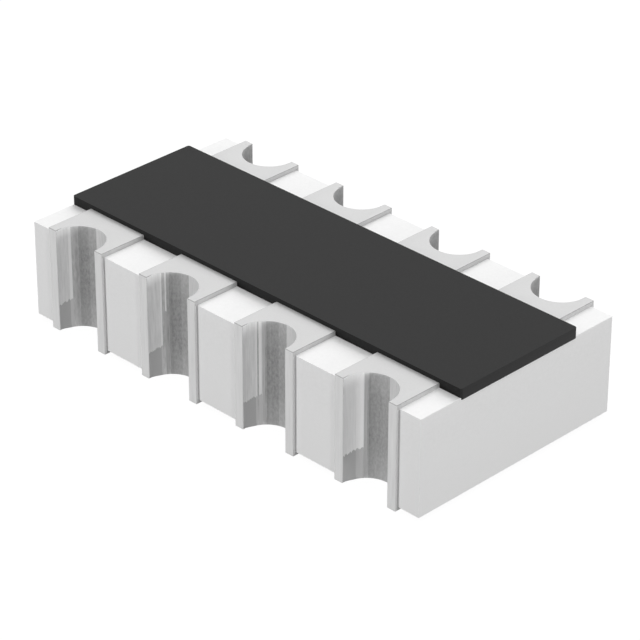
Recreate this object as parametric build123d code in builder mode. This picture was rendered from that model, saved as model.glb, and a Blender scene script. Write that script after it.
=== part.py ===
"""Four isolated thick-film resistors in one leadless chip with half-round castellated terminals.

The frame: origin at the middle of the underside, on the plane that the terminals stand on.
+X runs along the length, +Y from the front row of terminals to the back row, +Z up through
the protective coat. All sizes are millimetres.
"""

import os

from build123d import *

# Ceramic body
ceramic_length = 3.19
ceramic_width = 1.59
ceramic_thickness = 0.635
ceramic_corner_radius = 0.012
castellation_radius = 0.194

# Terminals: two rows, one terminal at each end of each resistor
resistor_count = 4
terminal_pitch = 0.80
terminal_width = 0.475
land_depth = 0.30

# Layers of a terminal: fired silver, then plated nickel, then plated tin
silver_top = 0.017
silver_side = 0.010
silver_under = 0.010
nickel_plate = 0.005
tin_plate = 0.007
edge_radius = 0.006

# Resistors, printed over the inner ends of the silver
electrode_gap = 0.68
film_width = 0.30
film_thickness = 0.012
film_overlap = 0.07
glass_thickness = 0.010
glass_margin = 0.02

# Laser cut that trims each film: in from the edge, then a turn along the current
kerf_width = 0.03
kerf_depth = 0.12
kerf_leg = 0.16
kerf_start = -0.08

# Protective coat over the resistors
coat_length = 3.20
coat_width = 0.960
coat_cover = 0.019
coat_lap = 0.011
coat_corner_radius = 0.015

# Levels and places that follow
ceramic_bottom = silver_under + nickel_plate + tin_plate
ceramic_top = ceramic_bottom + ceramic_thickness
ceramic_middle = ceramic_bottom + ceramic_thickness / 2
glass_rise = film_thickness + glass_thickness
coat_thickness = silver_top + glass_rise + coat_cover
side_face = ceramic_width / 2
coat_edge = coat_width / 2
plating = nickel_plate + tin_plate
silver_half_width = terminal_width / 2 - plating
silver_land_end = side_face - land_depth + plating
gap_end = electrode_gap / 2
film_end = gap_end + film_overlap
glass_end = film_end + glass_margin
columns = [(i - (resistor_count - 1) / 2) * terminal_pitch for i in range(resistor_count)]
rows = {"front": -1, "back": 1}

os.makedirs("parts", exist_ok=True)


def write(piece, label):
    piece.part.label = label
    export_step(piece.part, f"parts/{label}.step")


# The fired alumina, snapped from a large sheet through its rows of holes, so that each hole
# leaves a half-round castellation in a long side.
with BuildPart() as ceramic_substrate:
    with BuildSketch(Plane.XY.offset(ceramic_bottom)):
        Rectangle(ceramic_length, ceramic_width)
        for side in rows.values():
            with Locations([(x, side * side_face) for x in columns]):
                Circle(castellation_radius, mode=Mode.SUBTRACT)
    extrude(amount=ceramic_thickness)
    ends = ceramic_substrate.faces().filter_by(Axis.X)
    fillet(ends.edges().filter_by(Axis.Z), ceramic_corner_radius)
write(ceramic_substrate, "ceramic_substrate")


def clip_outline(x, side, half_width, build, inner_end):
    """A layer at one castellation, seen from above, from `inner_end` to its front face. It is
    rounded where it turns from the front face, out at the ends and in at the notch's lips. Every
    layer has the same small radius there, because plating piles up at an edge and keeps it crisp."""
    outer = side_face + build
    with BuildSketch() as outline:
        with Locations((x, side * (inner_end + outer) / 2)):
            Rectangle(2 * half_width, outer - inner_end)
        with Locations((x, side * side_face)):
            Circle(castellation_radius - build, mode=Mode.SUBTRACT)
        with Locations((x, side * (side_face + outer) / 2)):
            Rectangle(2 * (castellation_radius - build), build, mode=Mode.SUBTRACT)
        front = outline.vertices().sort_by(lambda corner: side * corner.Y)[-4:]
        fillet(front, edge_radius)
    return outline.sketch


def terminal_layer(x, side, half_width, build, top_end, top, land_end, under):
    """A layer that clips round the long side of the ceramic at one castellation, built over
    the ceramic by the given amounts at the side, on top and underneath, with its pad and its
    land running in to their own ends. What lies inside it is cut away afterwards."""
    with BuildPart() as layer:
        with BuildSketch(Plane.XY.offset(ceramic_middle)):
            add(clip_outline(x, side, half_width, build, top_end))
        extrude(amount=ceramic_top + top - ceramic_middle)
        with BuildSketch(Plane.XY.offset(ceramic_middle)):
            add(clip_outline(x, side, half_width, build, land_end))
        extrude(amount=ceramic_bottom - under - ceramic_middle)
        add(ceramic_substrate.part, mode=Mode.SUBTRACT)
    return layer


# Each terminal from the ceramic outwards: a silver electrode that runs in under the coat,
# through the castellation and round to the land, then nickel and tin over all the silver
# that the coat leaves bare. Both platings end at the side of the coat.
silver = {}
for row, side in rows.items():
    for number, x in enumerate(columns, start=1):
        name = f"{row}_{number}"
        silver[name] = terminal_layer(
            x, side, silver_half_width, silver_side, gap_end, silver_top, silver_land_end, silver_under
        )
        write(silver[name], f"silver_electrode_{name}")

        nickel_over_silver = terminal_layer(
            x, side, silver_half_width + nickel_plate, silver_side + nickel_plate, coat_edge,
            silver_top + nickel_plate, silver_land_end - nickel_plate, silver_under + nickel_plate
        )
        with BuildPart() as nickel_barrier:
            add(nickel_over_silver.part)
            add(silver[name].part, mode=Mode.SUBTRACT)
        write(nickel_barrier, f"nickel_barrier_{name}")

        tin_over_nickel = terminal_layer(
            x, side, terminal_width / 2, silver_side + plating, coat_edge,
            silver_top + plating, silver_land_end - plating, silver_under + plating
        )
        with BuildPart() as tin_terminal:
            add(tin_over_nickel.part)
            add(nickel_barrier.part, mode=Mode.SUBTRACT)
            add(silver[name].part, mode=Mode.SUBTRACT)
        write(tin_terminal, f"tin_terminal_{name}")


def stepped_strip(x, width, end, step, rise):
    """A printed strip, low between the electrodes and stepped up at both ends, where it lies
    over the silver. `step` is where its top face climbs, and `rise` its build."""
    low, high = ceramic_top + rise, ceramic_top + silver_top + rise
    with BuildPart() as strip:
        with BuildSketch(Plane.YZ.offset(x - width / 2)):
            with BuildLine():
                Polyline(
                    (-end, ceramic_top), (-end, high), (-step, high), (-step, low),
                    (step, low), (step, high), (end, high), (end, ceramic_top), close=True
                )
            make_face()
        extrude(amount=width)
    return strip.part


def trim_kerf(x):
    """The laser's path from the edge of the glass inwards, cut down to the ceramic."""
    depth = glass_margin + kerf_depth
    edge = x + film_width / 2 + glass_margin
    with BuildPart() as kerf:
        with BuildSketch(Plane.XY.offset(ceramic_top)):
            with Locations((edge - depth / 2, kerf_start)):
                Rectangle(depth, kerf_width)
            with Locations((edge - depth + kerf_width / 2, kerf_start + kerf_leg / 2)):
                Rectangle(kerf_width, kerf_leg + kerf_width)
        extrude(amount=silver_top + glass_rise)
    return kerf.part


# The four resistor films, each under its own patch of glass. The glass is printed before the
# laser trims the film, so the cut goes through both.
films = []
glasses = []
for number, x in enumerate(columns, start=1):
    electrodes = [silver[f"{row}_{number}"].part for row in rows]

    with BuildPart() as resistor_film:
        add(stepped_strip(x, film_width, film_end, gap_end - film_thickness, film_thickness))
        add(electrodes, mode=Mode.SUBTRACT)
        add(trim_kerf(x), mode=Mode.SUBTRACT)
    write(resistor_film, f"resistor_film_{number}")
    films.append(resistor_film.part)

    with BuildPart() as glass_overglaze:
        glass_width = film_width + 2 * glass_margin
        add(stepped_strip(x, glass_width, glass_end, gap_end - glass_rise, glass_rise))
        add(electrodes, mode=Mode.SUBTRACT)
        add(resistor_film.part, mode=Mode.SUBTRACT)
        add(trim_kerf(x), mode=Mode.SUBTRACT)
    write(glass_overglaze, f"glass_overglaze_{number}")
    glasses.append(glass_overglaze.part)

# The black coat: one printed slab that fills in round the glass, the bare silver and the laser
# cuts, and laps a hair over the ends of the ceramic.
with BuildPart() as protective_coat:
    with BuildSketch(Plane.XY.offset(ceramic_top - coat_lap)):
        RectangleRounded(coat_length, coat_width, coat_corner_radius)
    extrude(amount=coat_lap + coat_thickness)
    add(ceramic_substrate.part, mode=Mode.SUBTRACT)
    add([electrode.part for electrode in silver.values()], mode=Mode.SUBTRACT)
    add(films + glasses, mode=Mode.SUBTRACT)
write(protective_coat, "protective_coat")
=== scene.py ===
# %% [markdown]
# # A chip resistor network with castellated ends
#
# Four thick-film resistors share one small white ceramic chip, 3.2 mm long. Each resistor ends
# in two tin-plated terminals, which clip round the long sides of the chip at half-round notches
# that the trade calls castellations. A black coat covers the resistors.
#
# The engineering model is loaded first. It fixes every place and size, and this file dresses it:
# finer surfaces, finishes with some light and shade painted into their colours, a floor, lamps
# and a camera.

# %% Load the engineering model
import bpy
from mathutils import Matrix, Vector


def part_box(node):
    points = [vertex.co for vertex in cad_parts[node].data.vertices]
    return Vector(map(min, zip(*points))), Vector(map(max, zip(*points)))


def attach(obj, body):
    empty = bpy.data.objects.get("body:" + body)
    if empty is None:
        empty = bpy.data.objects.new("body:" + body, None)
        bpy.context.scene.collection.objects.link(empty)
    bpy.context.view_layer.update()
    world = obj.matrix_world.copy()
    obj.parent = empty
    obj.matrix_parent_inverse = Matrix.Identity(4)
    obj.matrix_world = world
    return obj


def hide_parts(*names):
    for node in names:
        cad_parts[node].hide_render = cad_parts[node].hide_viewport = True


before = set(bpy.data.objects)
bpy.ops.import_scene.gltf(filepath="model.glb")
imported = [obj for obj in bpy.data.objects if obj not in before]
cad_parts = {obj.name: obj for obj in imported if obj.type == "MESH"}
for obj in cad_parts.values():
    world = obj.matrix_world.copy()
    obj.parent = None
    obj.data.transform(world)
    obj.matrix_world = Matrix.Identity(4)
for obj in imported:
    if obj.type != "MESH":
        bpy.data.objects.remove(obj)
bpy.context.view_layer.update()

print("The engineering model has", len(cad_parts), "solids")

# %% [markdown]
# The chip is so small that Blender's own tolerances, which suit objects of a metre, would eat
# its edges. One answer is to work at a thousand times the size and never come back, but then
# nothing fits the engineering model. Here each shape is drawn in millimetres and brought down to
# metres in its last step, so the tools work at a comfortable size and the result is true. Lengths
# in this file are millimetres, unless a comment says metres.
#
# Most sizes are read from the boxes of the model's solids. A box can't give the radius of the
# drilled holes, the small radius at the edges of the tin, the thickness of the tin or the depth
# of the lands, so these repeat the model's own values. The strip beside the ceramic that carries a
# painted contact shade is a line that only its colour shows, and its width is matched to the
# photograph.

# %% Sizes, in millimetres, read from the model where it has them
import math

import bmesh
import bpy
from mathutils import Matrix, Vector

MM = 0.001


def corners_mm(node):
    """The lowest and highest corners of a solid, in millimetres."""
    low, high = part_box(node)
    return low / MM, high / MM


body_low, body_high = corners_mm("ceramic_substrate")
coat_low, coat_high = corners_mm("protective_coat")
land_low, terminal_high = corners_mm("tin_terminal_front_1")
SIDE_FACE = body_high.y
FRONT = -land_low.y
TERMINAL_HALF_WIDTH = (terminal_high.x - land_low.x) / 2
COLUMNS = [sum(corner.x for corner in corners_mm(f"tin_terminal_front_{n}")) / 2 for n in range(1, 5)]
HOLE_RADIUS = 0.194
NOTCH_RADIUS = HOLE_RADIUS - (FRONT - SIDE_FACE)
EDGE_RADIUS = 0.006
TIN = 0.007
LAND_DEPTH = 0.30
# Width of the strip beside the ceramic that is painted with contact shade.
CONTACT_SHADE_STRIP = 0.008
print("Terminals at x =", [round(x, 3) for x in COLUMNS], "mm, notch radius", round(NOTCH_RADIUS, 3), "mm")

# %% [markdown]
# The photograph looks down on one corner of the chip from about 30 degrees up, with a long lens
# that keeps the sides nearly parallel. A camera can be placed by eye, but the corners of a plain
# block tell enough to work its place out: this one sits 18.5 mm away with a 176 mm lens. It is
# aimed with a tracking rotation and then turned by the sixth of a degree that the picture leans.
# The lens is so long that the far end of the chip looks hardly smaller than the near end.

# %% Camera
camera_data = bpy.data.cameras.new("close_up_camera")
camera_data.lens = 176.18
camera_data.sensor_width = 36
camera_data.clip_start = 0.001  # metres
camera_data.clip_end = 10  # metres
camera = bpy.data.objects.new("close_up_camera", camera_data)
bpy.context.scene.collection.objects.link(camera)
bpy.context.scene.camera = camera
eye = Vector((11.3158, -11.3431, 9.5280)) * MM
target = Vector((0.0330, 0.0042, 0.3148)) * MM
aim = (target - eye).to_track_quat("-Z", "Y").to_matrix().to_4x4()
lean = Matrix.Rotation(math.radians(0.156), 4, "Z")
camera.matrix_world = Matrix.Translation(eye) @ aim @ lean
print("Camera", round((target - eye).length / MM, 2), "mm from the chip")

# %% [markdown]
# A material is a small network of nodes, and writing each link out hides what it does. One
# helper adds a node with its settings and its links in one line. Colours are written as the hex
# codes that a screen shows, and one function turns them into the linear values that light
# needs.

# %% Helpers for materials
def linear(code):
    """An sRGB hex colour as the linear red, green, blue and alpha that nodes take."""
    shares = [int(code[place:place + 2], 16) / 255 for place in (1, 3, 5)]
    return [s / 12.92 if s <= 0.04045 else ((s + 0.055) / 1.055) ** 2.4 for s in shares] + [1]


def add(tree, kind, settings, links=None):
    """Adds a node. Settings go to its sockets or properties, and links come in at its sockets."""
    node = tree.nodes.new(kind)
    for key, value in settings.items():
        if isinstance(key, str) and hasattr(node, key):
            setattr(node, key, value)
        else:
            node.inputs[key].default_value = value
    for key, socket in (links or {}).items():
        tree.links.new(socket, node.inputs[key])
    return node


def start_material(name):
    """A material with an empty network, and its output node and object coordinates."""
    material = bpy.data.materials.new(name)
    material.use_nodes = True
    tree = material.node_tree
    tree.nodes.clear()
    out = add(tree, "ShaderNodeOutputMaterial", {})
    place = add(tree, "ShaderNodeTexCoord", {})
    return material, tree, out, place


# %% [markdown]
# The body is 96% alumina, pressed as a thin sheet and fired at about 1600 degrees C. It comes
# out white and hard with a fine, even grain, so it looks like unglazed porcelain: bright, and
# only faintly glossy. A flat white would look like plastic, so fine noise lifts the grain and
# shifts the white a little. The real grain is 5 micrometres across, too fine to show here, and
# is drawn at 20. Under these lamps its sides fall darker towards the foot, so the white is
# painted whiter there: painted light that evens out that shade.

# %% Fired alumina
BUMP_HEIGHT = 0.0005  # of every bumpy finish on the chip
# Painted light: between these heights the white is made whiter, most at the foot, to even out the shade
# there.
WHITEST_LEVEL, PLAIN_LEVEL = 0.02, 0.55  # above the board
MOST_PAINTED_LIGHT = 0.9
alumina, tree, out, place = start_material("fired_alumina")
grain = add(
    tree, "ShaderNodeTexNoise", {"Scale": 1 / (0.020 * MM), "Detail": 3.0, "Roughness": 0.6},
    {"Vector": place.outputs["Object"]}
)
white = add(tree, "ShaderNodeMix", {"data_type": "RGBA", 6: linear("#EFEFEF"), 7: linear("#F9F9F9")},
            {0: grain.outputs["Fac"]})
height = add(tree, "ShaderNodeSeparateXYZ", {}, {"Vector": place.outputs["Object"]})
# Painted light towards the foot, against the shade that falls there.
painted_light_towards_foot = add(
    tree, "ShaderNodeMapRange",
    {"From Min": WHITEST_LEVEL * MM, "From Max": PLAIN_LEVEL * MM, "To Min": MOST_PAINTED_LIGHT, "To Max": 0.0},
    {"Value": height.outputs["Z"]}
)
white_with_painted_light = add(tree, "ShaderNodeMix", {"data_type": "RGBA", 7: linear("#FFFFFF")},
             {0: painted_light_towards_foot.outputs[0], 6: white.outputs[2]})
bumps = add(tree, "ShaderNodeBump", {"Strength": 0.15, "Distance": BUMP_HEIGHT * MM},
            {"Height": grain.outputs["Fac"]})
skin = add(tree, "ShaderNodeBsdfPrincipled", {"Roughness": 0.55, "IOR": 1.5},
           {"Base Color": white_with_painted_light.outputs[2], "Normal": bumps.outputs["Normal"]})
tree.links.new(skin.outputs["BSDF"], out.inputs["Surface"])
print("Made", alumina.name)

# %% [markdown]
# The terminals are tin, plated 7 micrometres thick on nickel. Matte tin is a pale grey metal
# whose tiny crystals scatter light, so it shows no clear reflection, only a soft sheen. All its
# finishes share one recipe: a crystal pattern that shifts the grey and roughens the surface.
# Stretching the pattern along Z turns its spots into upright lines. Real tin crystals are a few
# micrometres across, too fine to show here, and are drawn at 12 or 20.
#
# The recipe can also paint light and reflections that the walls of the notches need. It paints
# a wall lighter towards its two mouths, by the distance from the height at which its painted light
# is least. And it gives a wall a plain, darker grey foot, a painted reflection. Adding the crystal
# pattern to the height makes the border of that foot ragged, and taking the height along a leaning
# direction makes it climb towards the back.

# %% A recipe for matte tin, which can also paint light and reflections
# Painted light on a wall is least at this height, and grows between these two distances from it.
LEAST_PAINTED_LIGHT_HEIGHT = 0.36
PAINTED_LIGHT_START, PAINTED_LIGHT_FULL_REACH = 0.14, 0.40
# The border of the painted reflection at a wall's foot: its lean, how ragged it is and its blur.
BORDER_LEAN = 0.2
BORDER_RAGGEDNESS = 0.06
BORDER_BLUR = 0.002
terminal_tin_and_painted_light = []


def tin_finish_and_painted_light(
    name, dark, light, metallic, roughness, stretch=1, mouth_painted_light=0.0, foot=-1.0, painted_reflection_grey="#BEBEBE", spot=0.012
):
    """Makes tin with crystals `spot` mm across, drawn out along Z by `stretch`. Painted light makes it
    lighter by the given amount at the top and bottom of a wall, and its lowest `foot` mm are a painted
    reflection in a plain grey. A foot below zero shows nowhere. Gives back the place in the list of
    the terminals' finishes."""
    material, tree, out, place = start_material(name)
    drawn = add(tree, "ShaderNodeMapping", {"Scale": (1, 1, 1 / stretch)},
                {"Vector": place.outputs["Object"]})
    crystals = add(
        tree, "ShaderNodeTexNoise", {"Scale": 1 / (spot * MM), "Detail": 3.0, "Roughness": 0.6},
        {"Vector": drawn.outputs["Vector"]}
    )

    # Painted light: lighter towards both mouths of a wall.
    height = add(tree, "ShaderNodeSeparateXYZ", {}, {"Vector": place.outputs["Object"]})
    from_least_painted_light = add(tree, "ShaderNodeMath", {"operation": "SUBTRACT", 1: LEAST_PAINTED_LIGHT_HEIGHT * MM},
                       {0: height.outputs["Z"]})
    distance = add(tree, "ShaderNodeMath", {"operation": "ABSOLUTE"}, {0: from_least_painted_light.outputs[0]})
    painted_light_rise = add(
        tree, "ShaderNodeMapRange",
        {"From Min": PAINTED_LIGHT_START * MM, "From Max": PAINTED_LIGHT_FULL_REACH * MM, "To Max": mouth_painted_light},
        {"Value": distance.outputs[0]}
    )
    share = add(tree, "ShaderNodeMath", {"operation": "ADD"},
                {0: crystals.outputs["Fac"], 1: painted_light_rise.outputs[0]})
    grey = add(tree, "ShaderNodeMix", {"data_type": "RGBA", 6: linear(dark), 7: linear(light)},
               {0: share.outputs[0]})

    # Painted reflection: below a ragged, leaning border the wall turns a plain grey.
    leaning = add(tree, "ShaderNodeVectorMath", {"operation": "DOT_PRODUCT", 1: (0, -BORDER_LEAN, 1)},
                  {0: place.outputs["Object"]})
    ragged = add(
        tree, "ShaderNodeMath", {"operation": "MULTIPLY_ADD", 1: BORDER_RAGGEDNESS * MM},
        {0: crystals.outputs["Fac"], 2: leaning.outputs["Value"]}
    )
    border = foot + BORDER_LEAN * FRONT + BORDER_RAGGEDNESS / 2
    above = add(
        tree, "ShaderNodeMapRange",
        {"From Min": (border - BORDER_BLUR) * MM, "From Max": (border + BORDER_BLUR) * MM},
        {"Value": ragged.outputs[0]}
    )
    with_painted_reflection_foot = add(tree, "ShaderNodeMix", {"data_type": "RGBA", 6: linear(painted_reflection_grey)},
                 {0: above.outputs[0], 7: grey.outputs[2]})

    bumps = add(tree, "ShaderNodeBump", {"Strength": 0.2, "Distance": BUMP_HEIGHT * MM},
                {"Height": crystals.outputs["Fac"]})
    skin = add(tree, "ShaderNodeBsdfPrincipled", {"Metallic": metallic, "Roughness": roughness},
               {"Base Color": with_painted_reflection_foot.outputs[2], "Normal": bumps.outputs["Normal"]})
    tree.links.new(skin.outputs["BSDF"], out.inputs["Surface"])
    terminal_tin_and_painted_light.append(material)
    return len(terminal_tin_and_painted_light) - 1


# %% [markdown]
# Outside the notches the printed pad on top is the dullest tin, and the flat front has the most
# sheen. The front and the flanks' sides are painted lighter than the pad, and the pad's sides
# darker, as painted light and shade for how light falls on them. The rounded rims are painted
# darker as a painted reflection, and the strip against the ceramic as a painted contact shade,
# which draws a fine double line round each pad. After the two greys come how metallic and how
# rough the tin is, and how far its pattern is drawn out. Each finish is kept under a short name,
# which stands for its place in the list.

# %% Tin outside the notches, with painted light and shade on some faces
# Beside the pad's own tin, these greys are painted light, painted shade and a dark painted reflection, by
# face.
FRONT_TIN_PAINTED_LIGHT = tin_finish_and_painted_light("matte_tin_plate_with_painted_light", "#CCCCCC", "#E4E4E4", 0.5, 0.45, 12, spot=0.020)
PAD_TIN = tin_finish_and_painted_light("printed_pad_tin", "#CCCCCC", "#D4D4D4", 0.15, 0.5)
PAD_SIDE_PAINTED_SHADE = tin_finish_and_painted_light("pad_side_tin_painted_shade", "#C0C0C0", "#D0D0D0", 0.4, 0.5)
FLANK_SIDE_PAINTED_LIGHT = tin_finish_and_painted_light("flank_side_tin_painted_light", "#D6D6D6", "#E6E6E6", 0.15, 0.5)
RIM_PAINTED_REFLECTION = tin_finish_and_painted_light("rounded_rim_tin_painted_reflection", "#9C9C9C", "#B0B0B0", 0.4, 0.5)
FLANK_EDGE = tin_finish_and_painted_light("flank_edge_tin", "#CCCCCC", "#DDDDDD", 0.3, 0.4, 12)
CONTACT_PAINTED_SHADE = tin_finish_and_painted_light("tin_with_painted_contact_shade", "#B8B8B8", "#CCCCCC", 0.1, 0.5)
print("Made", len(terminal_tin_and_painted_light), "finishes of tin")

# %% [markdown]
# The wall of a notch was a drilled hole before. Its tin is painted with the light, shade and
# reflections that fall on it: painted shade at its back and half way round, painted light near its
# lips and towards its two mouths. Bright painted reflections run down its left side as streaks, at
# other angles in each notch. Near the left lip the painted light stops at a ragged line a fifth of
# a millimetre above the board, where a darker painted reflection takes over, and in one narrow
# streak it stops at twice that height.

# %% Tin on the walls of the notches, painted with light, shade and reflections
# Heights above the board where the painted light gives way to the darker painted reflection.
LINE, HIGH_LINE = 0.172, 0.40  # above the board
# Each finish here is tin painted with the light, shade or reflection of its band of the wall.
LEFT_LIP_PAINTED_LIGHT = tin_finish_and_painted_light("wall_tin_painted_light_by_the_left_lip", "#D0D0D0", "#FFFFFF", 0.05, 0.4, 12, 0.2, LINE)
LAST_LEFT_LIP_PAINTED_LIGHT = tin_finish_and_painted_light(
    "wall_tin_painted_light_by_the_last_left_lip", "#EAEAEA", "#FFFFFF", 0.3, 0.4, 12, 0.2, LINE, "#BCBCBC"
)
PAINTED_REFLECTION_STREAK = tin_finish_and_painted_light("wall_tin_painted_reflection_streak", "#EEEEEE", "#FFFFFF", 0.15, 0.4, 12, 0.2, LINE, "#D2D2D2")
WIDE_PAINTED_REFLECTION = tin_finish_and_painted_light("wall_tin_widest_painted_reflection", "#F6F6F6", "#FFFFFF", 0.4, 0.4, 12, 0.2, LINE, "#C8C8C8")
SHORT_PAINTED_REFLECTION = tin_finish_and_painted_light("wall_tin_short_painted_reflection", "#E8E8E8", "#FFFFFF", 0.1, 0.4, 12, 0.2, HIGH_LINE)
BESIDE_PAINTED_LIGHT = tin_finish_and_painted_light("wall_tin_painted_light_beside_the_reflection", "#D0D0D0", "#EEEEEE", 0.05, 0.4, 12, 0.2)
LEFT_PAINTED_SHADE = tin_finish_and_painted_light("wall_tin_painted_shade_halfway_left", "#9A9A9A", "#DEDEDE", 0.05, 0.4, 4, 0.5)
BACK_PAINTED_SHADE = tin_finish_and_painted_light("wall_tin_painted_shade_at_the_back", "#6C6C6C", "#B6B6B6", 0.05, 0.4, 2, 0.45)
LAST_BACK_PAINTED_SHADE = tin_finish_and_painted_light("wall_tin_painted_shade_at_the_last_back", "#767676", "#BEBEBE", 0.05, 0.4, 2, 0.5)
RIGHT_PAINTED_SHADE = tin_finish_and_painted_light("wall_tin_painted_shade_halfway_right", "#7E7E7E", "#C0C0C0", 0.05, 0.4, 2, 0.5)
RIGHT_LIP_PAINTED_LIGHT = tin_finish_and_painted_light("wall_tin_painted_light_by_the_right_lip", "#C4C4C4", "#ECECEC", 0.05, 0.4, 12)
print("Made", len(terminal_tin_and_painted_light), "finishes of tin in all")

# %% [markdown]
# The black coat is a resin that is screen-printed over the resistors and cured. It is flat and
# nearly matte, because a fine mineral powder is mixed into it. Its long edges, where the screen
# parted from the print, are the coarsest and have almost no sheen. Its short edges are painted a
# little lighter than its face, as painted light. The grains of the powder would be too fine to
# see, so they are drawn at 15 micrometres.

# %% Black cured resin, for the face of the print, its long edges, and its short edges with painted light
coatings = []
for name, dark, light, sheen in (
    ("black_cured_resin", "#202020", "#272727", 0.25),
    ("black_resin_long_edge", "#1A1A1A", "#2C2C2C", 0.08),
    ("black_resin_short_edge_painted_light", "#262626", "#2E2E2E", 0.25),
):
    material, tree, out, place = start_material(name)
    powder = add(tree, "ShaderNodeTexNoise", {"Scale": 1 / (0.015 * MM), "Detail": 3.0},
                 {"Vector": place.outputs["Object"]})
    black = add(tree, "ShaderNodeMix", {"data_type": "RGBA", 6: linear(dark), 7: linear(light)},
                {0: powder.outputs["Fac"]})
    bumps = add(tree, "ShaderNodeBump", {"Strength": 0.1, "Distance": BUMP_HEIGHT * MM},
                {"Height": powder.outputs["Fac"]})
    skin = add(
        tree, "ShaderNodeBsdfPrincipled", {"Roughness": 0.6, "IOR": 1.45, "Specular IOR Level": sheen},
        {"Base Color": black.outputs[2], "Normal": bumps.outputs["Normal"]}
    )
    tree.links.new(skin.outputs["BSDF"], out.inputs["Surface"])
    coatings.append(material)
    print("Made", name)

# %% [markdown]
# Under the tin and the coat lie four layers that nobody sees unless the chip is opened: fired
# silver, plated nickel, the resistor film and its glass. They keep the engineering model's own
# meshes, and each gets its real finish, so an opened view still reads right. Their grain too is
# drawn coarser than it is, at 8 to 30 micrometres.

# %% The four hidden finishes
hidden_looks = {
    "silver_electrode": ("fired_silver", "#C9C6BF", "#D8D5CE", 1.0, 0.5, 0.010),
    "nickel_barrier": ("plated_nickel", "#A9A49A", "#B5B0A6", 1.0, 0.35, 0.008),
    "resistor_film": ("ruthenium_oxide_film", "#26282B", "#34363A", 0.0, 0.5, 0.012),
    "glass_overglaze": ("green_glass_overglaze", "#24503C", "#2F6248", 0.0, 0.15, 0.030),
}
for family, (name, dark, light, metallic, roughness, speck) in hidden_looks.items():
    material, tree, out, place = start_material(name)
    specks = add(tree, "ShaderNodeTexNoise", {"Scale": 1 / (speck * MM), "Detail": 2.0},
                 {"Vector": place.outputs["Object"]})
    colour = add(tree, "ShaderNodeMix", {"data_type": "RGBA", 6: linear(dark), 7: linear(light)},
                 {0: specks.outputs["Fac"]})
    skin = add(tree, "ShaderNodeBsdfPrincipled", {"Metallic": metallic, "Roughness": roughness},
               {"Base Color": colour.outputs[2]})
    tree.links.new(skin.outputs["BSDF"], out.inputs["Surface"])
    dressed = [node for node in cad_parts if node.startswith(family)]
    for node in dressed:
        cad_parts[node].data.materials.clear()
        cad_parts[node].data.materials.append(material)
    print(name, "is on", len(dressed), "nodes")

# %% [markdown]
# Every outline on this chip is made of straight runs and arcs. An arc could be computed point by
# point, but Blender's Spin tool makes one by itself: it carries a vertex round a centre and
# leaves its path behind as edges. Three small helpers follow. One turns a vertex like that, and
# one pulls faces up or down into a block. The last one finishes a piece: it brings the mesh down
# to metres, shades it smooth between its sharp edges, gives it its materials and puts it in the
# place of the solid that it stands for.

# %% Helpers for turning a vertex, pulling faces and finishing a piece
SHARP_ANGLE = math.radians(50)


def turn(bm, start, centre, degrees, steps):
    """Carries a vertex round a centre, seen from above, and gives back the vertex at the end."""
    swept = bmesh.ops.spin(
        bm, geom=[start], cent=centre, axis=(0, 0, 1), angle=math.radians(degrees), steps=steps
    )
    return [item for item in swept["geom_last"] if isinstance(item, bmesh.types.BMVert)][0]


def pull(bm, faces, height):
    """Raises faces into a block, or pulls them down, by a height."""
    made = bmesh.ops.extrude_face_region(bm, geom=faces)["geom"]
    far = [item for item in made if isinstance(item, bmesh.types.BMVert)]
    bmesh.ops.translate(bm, verts=far, vec=(0, 0, height))


def finish_piece(bm, name, materials, node):
    """Brings a mesh drawn in millimetres down to metres and puts it in the place of a solid."""
    bmesh.ops.scale(bm, vec=(MM, MM, MM), verts=bm.verts)
    mesh = bpy.data.meshes.new(name)
    bm.to_mesh(mesh)
    bm.free()
    mesh.polygons.foreach_set("use_smooth", [True] * len(mesh.polygons))
    mesh.set_sharp_from_angle(angle=SHARP_ANGLE)
    for material in materials:
        mesh.materials.append(material)
    piece = bpy.data.objects.new(name, mesh)
    bpy.context.scene.collection.objects.link(piece)
    piece.modifiers.new("flat faces stay flat", "WEIGHTED_NORMAL").keep_sharp = True
    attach(piece, "root")
    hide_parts(node)
    print(name, "has", len(mesh.polygons), "faces")


# %% [markdown]
# The ceramic body is snapped from a large drilled sheet, so each hole leaves half of itself in
# a long side. Cutting cylinders from a block would work, but Booleans leave ragged edges that
# are hard to round. Here the outline is drawn first, with every notch spun from its left lip to
# its right one. Then it is filled, raised and bevelled, so the rim is one clean rounded line.

# %% The outline of the ceramic body
ARC_STEPS = 60  # three degrees each, in half a turn
bm = bmesh.new()
notches = []
for side in (-1, 1):
    for x in COLUMNS[::-side]:
        left = bm.verts.new((x - HOLE_RADIUS, side * SIDE_FACE, body_low.z))
        right = turn(bm, left, (x, side * SIDE_FACE, body_low.z), 180 * side, ARC_STEPS)
        notches.append((left, right)[::-side])
corners = [
    bm.verts.new((end * body_high.x, side * SIDE_FACE, body_low.z))
    for end, side in ((-1, -1), (1, -1), (1, 1), (-1, 1))
]
print("The outline has", len(notches), "notches and", len(corners), "corners")

# %% [markdown]
# The straight runs join the notches in order round the chip. Its four upright corners are
# rounded by a vertex bevel while the outline is still flat, and all the rims by an edge bevel
# once it is raised.

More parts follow.
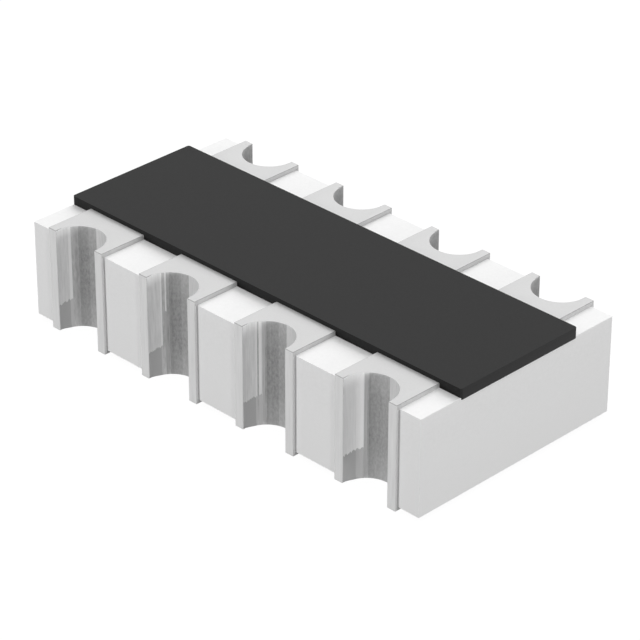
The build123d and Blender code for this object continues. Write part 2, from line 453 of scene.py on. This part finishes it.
# %% Join, fill, raise and round the body
BODY_CORNER = 0.003
BODY_RIM = 0.004
SAME_PLACE = 1e-4  # closer together than this, two places are one
stops = [corners[0]] + [v for pair in notches[:4] for v in pair] + corners[1:3]
stops += [v for pair in notches[4:] for v in pair] + [corners[3]]
spun = set(notches)
for first, second in zip(stops, stops[1:] + stops[:1]):
    if (first, second) not in spun:
        bm.edges.new((first, second))
bmesh.ops.contextual_create(bm, geom=bm.edges[:])
bmesh.ops.bevel(
    bm, geom=corners, offset=BODY_CORNER, offset_type="OFFSET", segments=3, profile=0.5,
    affect="VERTICES", material=-1
)
pull(bm, bm.faces[:], body_high.z - body_low.z)
bmesh.ops.recalc_face_normals(bm, faces=bm.faces)
rims = [edge for edge in bm.edges if abs(edge.verts[0].co.z - edge.verts[1].co.z) < SAME_PLACE]
bmesh.ops.bevel(
    bm, geom=rims, offset=BODY_RIM, offset_type="OFFSET", segments=3, profile=0.5,
    affect="EDGES", material=-1, clamp_overlap=True
)
finish_piece(bm, "alumina_body", [alumina], "ceramic_substrate")

# %% [markdown]
# A terminal is a skin that plating grew on the metal beneath, so it is made as one: an open
# shell that is then given its thickness inwards. It has no face where it meets the ceramic or
# the coat. A shell grows from edges instead of faces, and that takes two more helpers: one runs
# a straight edge from a vertex, and one raises edges into a wall.

# %% Helpers for running an edge and raising a wall
def run(bm, start, place):
    """Draws a straight edge from a vertex to a new one at a place."""
    end = bm.verts.new(place)
    bm.edges.new((start, end))
    return end


def raise_edges(bm, edges, height):
    """Draws edges up or down into a wall and gives back the edges at its far side."""
    made = bmesh.ops.extrude_edge_only(bm, edges=edges)["geom"]
    far = [item for item in made if isinstance(item, bmesh.types.BMVert)]
    bmesh.ops.translate(bm, verts=far, vec=(0, 0, height))
    return [
        item for item in made
        if isinstance(item, bmesh.types.BMEdge) and item.verts[0] in far and item.verts[1] in far
    ]


# %% [markdown]
# The outline of a terminal runs along the front, in over the lip, round the notch and out again.
# A vertex bevel then rounds its corners and lips. Next to the ceramic a narrow strip stays apart,
# to carry a painted contact shade where the tin meets the ceramic.

# %% The outline of a terminal, drawn for a given row
def terminal_outline(bm, x, side):
    """Draws the outer outline at the ceramic's top and gives back its two ends."""
    level = body_high.z
    face, front = side * SIDE_FACE, side * FRONT
    # The edge of the strip that carries painted contact shade.
    shade_strip_edge = face + side * CONTACT_SHADE_STRIP
    start = bm.verts.new((x - TERMINAL_HALF_WIDTH, face, level))
    near = run(bm, start, (x - TERMINAL_HALF_WIDTH, shade_strip_edge, level))
    corners = [run(bm, near, (x - TERMINAL_HALF_WIDTH, front, level))]
    corners.append(run(bm, corners[-1], (x - NOTCH_RADIUS, front, level)))
    hole = run(bm, corners[-1], (x - NOTCH_RADIUS, face, level))
    far = turn(bm, hole, (x, face, level), 180 * side, ARC_STEPS)
    corners.append(run(bm, far, (x + NOTCH_RADIUS, front, level)))
    corners.append(run(bm, corners[-1], (x + TERMINAL_HALF_WIDTH, front, level)))
    far_end = run(bm, corners[-1], (x + TERMINAL_HALF_WIDTH, shade_strip_edge, level))
    end = run(bm, far_end, (x + TERMINAL_HALF_WIDTH, face, level))
    bmesh.ops.bevel(
        bm, geom=corners, offset=EDGE_RADIUS, offset_type="OFFSET", segments=4, profile=0.5,
        affect="VERTICES", material=-1
    )
    return start, end


print("A terminal stands", round(FRONT - SIDE_FACE, 3), "mm out from the side of the ceramic")

# %% [markdown]
# Each face of a terminal gets its finish by where it is. On the wall of a notch the angle round
# the hole decides, counted from the right lip in steps of the three degrees that the arc was
# spun in. The bands on a wall are painted light, shade and reflections. One list of bands serves
# all the notches, and each notch has its own painted streaks besides, given by the angles where
# they start and end. The last notch, nearest to the end lamp, is painted a little lighter all
# over. The painted bands by the right lip end three degrees sooner in each notch than in the one
# before. The back row, which faces away, has only the painted shade of the back. The tin flares
# out a little at the foot of a notch, and the faces there count as wall.
#
# Outside the notches it is the way a face looks that decides. A face counts as square to an axis
# when its normal lies nearly along it, and as upright when its normal hardly rises or falls.

# %% Which finish, with its painted light and shade, goes where
# Painted bands shared by all notches: shade at the back and half way left, light by the left lip.
PAINTED_WALL_BANDS = [(135, BACK_PAINTED_SHADE), (153, LEFT_PAINTED_SHADE), (181, LEFT_LIP_PAINTED_LIGHT)]
# Each notch's own painted reflections, light and shade, from one angle to another.
PAINTED_BANDS_OF_EACH_NOTCH = {
    1: [(135, 138, RIGHT_PAINTED_SHADE), (153, 159, PAINTED_REFLECTION_STREAK)],
    2: [(135, 138, RIGHT_PAINTED_SHADE), (144, 147, SHORT_PAINTED_REFLECTION), (153, 156, PAINTED_REFLECTION_STREAK)],
    3: [(126, 135, LAST_BACK_PAINTED_SHADE), (138, 144, BESIDE_PAINTED_LIGHT), (144, 150, PAINTED_REFLECTION_STREAK), (153, 156, PAINTED_REFLECTION_STREAK)],
    4: [(108, 132, LAST_BACK_PAINTED_SHADE), (132, 135, LEFT_PAINTED_SHADE), (135, 141, BESIDE_PAINTED_LIGHT), (141, 156, WIDE_PAINTED_REFLECTION),
        (156, 181, LAST_LEFT_LIP_PAINTED_LIGHT)],
}
# Where the painted light by the right lip and the painted shade beside it end, and how much sooner in each
# notch.
RIGHT_LIP_END, RIGHT_END, SHIFT = 102, 120, 3
SQUARE = 0.98
UPRIGHT = 0.1
FLARED = 0.6


def wall_paint_of_light_and_shade(angle, side, number):
    """The tin at an angle round a notch, painted with the light, shade or reflection that falls there."""
    # The back row has the painted shade of the back all over.
    if side > 0:
        return BACK_PAINTED_SHADE
    for low, high, finish in PAINTED_BANDS_OF_EACH_NOTCH[number]:
        if low < angle < high:
            return finish
    if angle < RIGHT_LIP_END - SHIFT * number:
        return RIGHT_LIP_PAINTED_LIGHT
    if angle < RIGHT_END - SHIFT * number:
        return RIGHT_PAINTED_SHADE
    return next(finish for limit, finish in PAINTED_WALL_BANDS if angle < limit)


def face_finish_and_painted_light(face, x, side, number):
    """The finish of a face of a terminal, with the painted light or shade of its place."""
    place = face.calc_center_median() - Vector((x, side * SIDE_FACE, body_high.z))
    in_notch = abs(place.x) < NOTCH_RADIUS + SAME_PLACE
    on_flare = place.z < 0 and 0 < face.normal.z < FLARED
    if in_notch and (on_flare or abs(face.normal.z) < UPRIGHT):
        angle = abs(math.degrees(math.atan2(-side * place.y, place.x)))
        return wall_paint_of_light_and_shade(angle, side, number)
    if face.normal.z > SQUARE:
        return PAD_TIN
    if abs(face.normal.x) > SQUARE:
        on_pad = place.z > 0
        # The strip next to the ceramic carries painted contact shade.
        if (place.z if on_pad else side * place.y) < CONTACT_SHADE_STRIP:
            return CONTACT_PAINTED_SHADE
        return PAD_SIDE_PAINTED_SHADE if on_pad else FLANK_SIDE_PAINTED_LIGHT
    if abs(face.normal.y) > SQUARE or face.normal.z < -UPRIGHT:
        return FRONT_TIN_PAINTED_LIGHT
    if face.normal.z > UPRIGHT and not in_notch:
        return RIM_PAINTED_REFLECTION
    return FLANK_EDGE if abs(place.x) > TERMINAL_HALF_WIDTH - EDGE_RADIUS else FRONT_TIN_PAINTED_LIGHT


print("The front notches have", sum(len(own) for own in PAINTED_BANDS_OF_EACH_NOTCH.values()), "bands of their own")

# %% [markdown]
# The outline of a terminal is drawn at the level of the ceramic's top. It is pulled down into the
# wall, up into the pad and, at the foot, down into the land that is soldered to the board. Inside
# the notch the tin flares out a hundredth of a millimetre where it turns under the chip, and the
# flare dies out towards the lips.
#
# The pad's rim and the land's rim are bevelled, because plated metal builds up round at every
# edge. The small rounds on top are painted darker, a painted reflection, and read as thin lines.
# The edge that meets the coat stays as it is. At the end the solidify operator thickens the skin
# inwards by the thickness of the tin.

# %% The eight terminals
FLARE = 0.011
FLARE_DEPTH = 0.05
PLATED_RIM = 0.003


def terminal(x, side, number):
    """Makes one terminal, from its outline to its place in the scene."""
    bm = bmesh.new()
    start, end = terminal_outline(bm, x, side)
    ring = bm.edges[:]
    foot = raise_edges(bm, ring, body_low.z - body_high.z)

    coat_side = side * coat_high.y
    inner_start = run(bm, start, (start.co.x, coat_side, start.co.z))
    inner_end = run(bm, end, (end.co.x, coat_side, end.co.z))
    pad_outline = ring + list(inner_start.link_edges) + list(inner_end.link_edges)
    # The lowest strip of the pad's side carries painted contact shade.
    pad_foot = raise_edges(bm, pad_outline, CONTACT_SHADE_STRIP)
    pad_rim = raise_edges(bm, pad_foot, terminal_high.z - body_high.z - CONTACT_SHADE_STRIP)
    pad_ends = [v for edge in pad_rim for v in edge.verts if abs(v.co.y - coat_side) < SAME_PLACE]
    closing = bm.edges.new(pad_ends)
    bmesh.ops.contextual_create(bm, geom=pad_rim + [closing])

    land_side = side * (SIDE_FACE - LAND_DEPTH)
    line = [vert for edge in foot for vert in edge.verts]
    ends = [vert for vert in line if line.count(vert) == 1]
    toes = [run(bm, vert, (vert.co.x, land_side, vert.co.z)) for vert in ends]
    heel = bm.edges.new(toes)
    sides = [edge for toe in toes for edge in toe.link_edges if edge is not heel]
    land_rim = raise_edges(bm, foot + sides + [heel], land_low.z - body_low.z)
    for vert in {vert for edge in land_rim for vert in edge.verts}:
        inward = Vector((x, side * SIDE_FACE)) - vert.co.xy
        if inward.length < NOTCH_RADIUS + SAME_PLACE:
            share = min(1, side * inward.y / FLARE_DEPTH)
            vert.co.xy += inward.normalized() * FLARE * share
    bmesh.ops.contextual_create(bm, geom=land_rim)

    bmesh.ops.recalc_face_normals(bm, faces=bm.faces)
    bmesh.ops.bevel(
        bm, geom=pad_rim + land_rim, offset=PLATED_RIM, offset_type="OFFSET", segments=3, profile=0.5,
        affect="EDGES", material=-1, clamp_overlap=True
    )
    for face in bm.faces:
        face.material_index = face_finish_and_painted_light(face, x, side, number)
    bmesh.ops.solidify(bm, geom=bm.faces[:], thickness=TIN)
    row = "front" if side < 0 else "back"
    name = f"tin_terminal_{row}_{number}"
    finish_piece(bm, f"plated_{name}", terminal_tin_and_painted_light, name)


for side in (-1, 1):
    for number, x in enumerate(COLUMNS, start=1):
        terminal(x, side, number)

# %% [markdown]
# The coat is printed as one rectangle, so its corners are round in plan, its top is level, and
# the edge of the print is a small round. It starts as a plain grid face at the size of the
# print, which is raised into a slab. The slab is a hair longer than the ceramic, and hangs over
# both its ends: a cut at each end parts off a thin strip of the underside, which is pulled down.
# The way a face looks gives it the finish of the print's face, a long edge, or a short edge with its
# painted light.

# %% The black coat
PRINT_CORNER = 0.015
PRINT_RIM = 0.0025
bm = bmesh.new()
bmesh.ops.create_grid(bm, x_segments=1, y_segments=1, size=1)
bmesh.ops.scale(bm, vec=(coat_high.x, coat_high.y, 1), verts=bm.verts)
bmesh.ops.translate(bm, verts=bm.verts, vec=(0, 0, body_high.z))
bmesh.ops.bevel(
    bm, geom=bm.verts[:], offset=PRINT_CORNER, offset_type="OFFSET", segments=5, profile=0.5,
    affect="VERTICES", material=-1
)
for end in (-1, 1):
    bmesh.ops.bisect_plane(
        bm, geom=bm.verts[:] + bm.edges[:] + bm.faces[:],
        plane_co=(end * body_high.x, 0, 0), plane_no=(1, 0, 0)
    )
pull(bm, bm.faces[:], coat_high.z - body_high.z)
underside = [face for face in bm.faces if face.calc_center_median().z < body_high.z + SAME_PLACE]
laps = [face for face in underside if abs(face.calc_center_median().x) > body_high.x]
pull(bm, laps, coat_low.z - body_high.z)
bmesh.ops.recalc_face_normals(bm, faces=bm.faces)
rim = [edge for edge in bm.edges if min(v.co.z for v in edge.verts) > coat_high.z - SAME_PLACE]
bmesh.ops.bevel(
    bm, geom=rim, offset=PRINT_RIM, offset_type="OFFSET", segments=3, profile=0.5,
    affect="EDGES", material=-1, clamp_overlap=True
)
# The short edges carry painted light.
FACE_RESIN, LONG_EDGE_RESIN, SHORT_EDGE_PAINTED_LIGHT = range(3)
NEARLY_SQUARE = 0.9
for face in bm.faces:
    face.material_index = FACE_RESIN
    if abs(face.normal.y) > NEARLY_SQUARE:
        face.material_index = LONG_EDGE_RESIN
    elif abs(face.normal.x) > NEARLY_SQUARE:
        face.material_index = SHORT_EDGE_PAINTED_LIGHT
finish_piece(bm, "printed_coat", coatings, "protective_coat")

# %% [markdown]
# The chip lies on a pale table that fades into a white room. Lit as brightly as that, a real
# white table would throw so much light up that the chip's sides would be as bright as its top.
# So the table is a dark grey to the light, and adds a glow that only the eye, mirrors and glass
# can see: the Light Path node tells those rays apart. The room needs the same, so it is a helper.

# %% The finish of the table
def for_eye_mirror_or_glass(tree):
    """A socket that is 1 for what the camera, a mirror or glass sees, and 0 for plain light."""
    path = add(tree, "ShaderNodeLightPath", {})
    direct = add(tree, "ShaderNodeMath", {"operation": "MAXIMUM"},
                 {0: path.outputs["Is Camera Ray"], 1: path.outputs["Is Glossy Ray"]})
    seen = add(tree, "ShaderNodeMath", {"operation": "MAXIMUM"},
               {0: direct.outputs[0], 1: path.outputs["Is Transmission Ray"]})
    return seen.outputs[0]


TABLE_GLOW = 0.965
floor_material, tree, out, place = start_material("pale_studio_table")
paper = add(tree, "ShaderNodeTexNoise", {"Scale": 400.0, "Detail": 2.0},
            {"Vector": place.outputs["Object"]})
tone = add(tree, "ShaderNodeMix", {"data_type": "RGBA", 6: linear("#464646"), 7: linear("#4A4A4A")},
           {0: paper.outputs["Fac"]})
diffuse = add(tree, "ShaderNodeBsdfDiffuse", {}, {"Color": tone.outputs[2]})
level = add(tree, "ShaderNodeMath", {"operation": "MULTIPLY", 1: TABLE_GLOW},
            {0: for_eye_mirror_or_glass(tree)})
glow = add(tree, "ShaderNodeEmission", {"Color": (1, 1, 1, 1)}, {"Strength": level.outputs[0]})
both = add(tree, "ShaderNodeAddShader", {}, {0: diffuse.outputs[0], 1: glow.outputs[0]})
tree.links.new(both.outputs[0], out.inputs["Surface"])
print("Made", floor_material.name)

# %% [markdown]
# The table is a flat disc, so large that its edge melts into the white room. It lies a hair below
# the terminals, because two surfaces at one height would show through each other.

# %% The table
TABLE_RADIUS = 0.6  # metres
TABLE_GAP = 0.002
bm = bmesh.new()
bmesh.ops.create_circle(bm, cap_ends=True, segments=96, radius=TABLE_RADIUS)
bmesh.ops.translate(bm, verts=bm.verts, vec=(0, 0, -TABLE_GAP * MM))
floor_mesh = bpy.data.meshes.new("studio_table")
bm.to_mesh(floor_mesh)
bm.free()
floor = bpy.data.objects.new("studio_table", floor_mesh)
floor_mesh.materials.append(floor_material)
bpy.context.scene.collection.objects.link(floor)
print("The table is", TABLE_RADIUS * 2, "m across")

# %% [markdown]
# A small product is lit from all around by a bright room, with a few soft lamps that give its
# faces slightly different tones. The room is the world colour. The eye sees it pure white, but it
# lights the chip with little more than a third of that, which leaves the lamps something to do.

# %% The white room
ROOM_LIGHT = 0.38
world = bpy.data.worlds.new("white_room")
world.use_nodes = True
bpy.context.scene.world = world
tree = world.node_tree
tree.nodes.clear()
strength = add(tree, "ShaderNodeMapRange", {"To Min": ROOM_LIGHT, "To Max": 1.0},
               {"Value": for_eye_mirror_or_glass(tree)})
room = add(tree, "ShaderNodeBackground", {"Color": (1, 1, 1, 1)}, {"Strength": strength.outputs[0]})
add(tree, "ShaderNodeOutputWorld", {}, {"Surface": room.outputs[0]})
print("The room lights the chip at", ROOM_LIGHT, "of the white that the eye sees")

# %% [markdown]
# The lamps are square softboxes: their size and distance set how soft the shadows in the notches
# are. Each is placed by the direction that its light comes from, as a photographer would, and
# aimed at the chip with a tracking rotation. Two small ones stand low at the sides and graze the
# notches, and the narrow right one draws a sharp upright line where its light ends on each wall.
# A third lights the short end. The one overhead is for the tops, and the large one behind lets
# the coat lay a soft shade on the ceramic along its front edge. None of them shows in a
# reflection, so no bright square lies on the metal.

# %% The softboxes
def softbox(name, azimuth, elevation, distance, size, brightness):
    """A square lamp aimed at the chip. Azimuth runs anticlockwise from +X. The brightness is that
    of the lamp's surface, whatever its size."""
    a, e = math.radians(azimuth), math.radians(elevation)
    direction = Vector((math.cos(e) * math.cos(a), math.cos(e) * math.sin(a), math.sin(e)))
    light = bpy.data.lights.new(name, "AREA")
    light.size = size * MM
    light.energy = brightness * math.pi * light.size ** 2
    lamp = bpy.data.objects.new(name, light)
    bpy.context.scene.collection.objects.link(lamp)
    lamp.location = direction * distance * MM
    lamp.rotation_euler = (-direction).to_track_quat("-Z", "Y").to_euler()
    lamp.visible_glossy = False
    print(name, "at azimuth", azimuth, "and elevation", elevation)


softbox("left_softbox", 250, 3, 60, 6, 114.0)
softbox("right_softbox", 338, 3, 60, 3, 174.0)
softbox("end_softbox", 8, 8, 60, 12, 20.7)
softbox("overhead_softbox", 300, 80, 60, 50, 1.3)
softbox("back_softbox", 122, 40, 60, 50, 3.15)

# %% [markdown]
# The colours are shown as they are written, with the Standard view transform.

bpy.context.scene.view_settings.view_transform = "Standard"
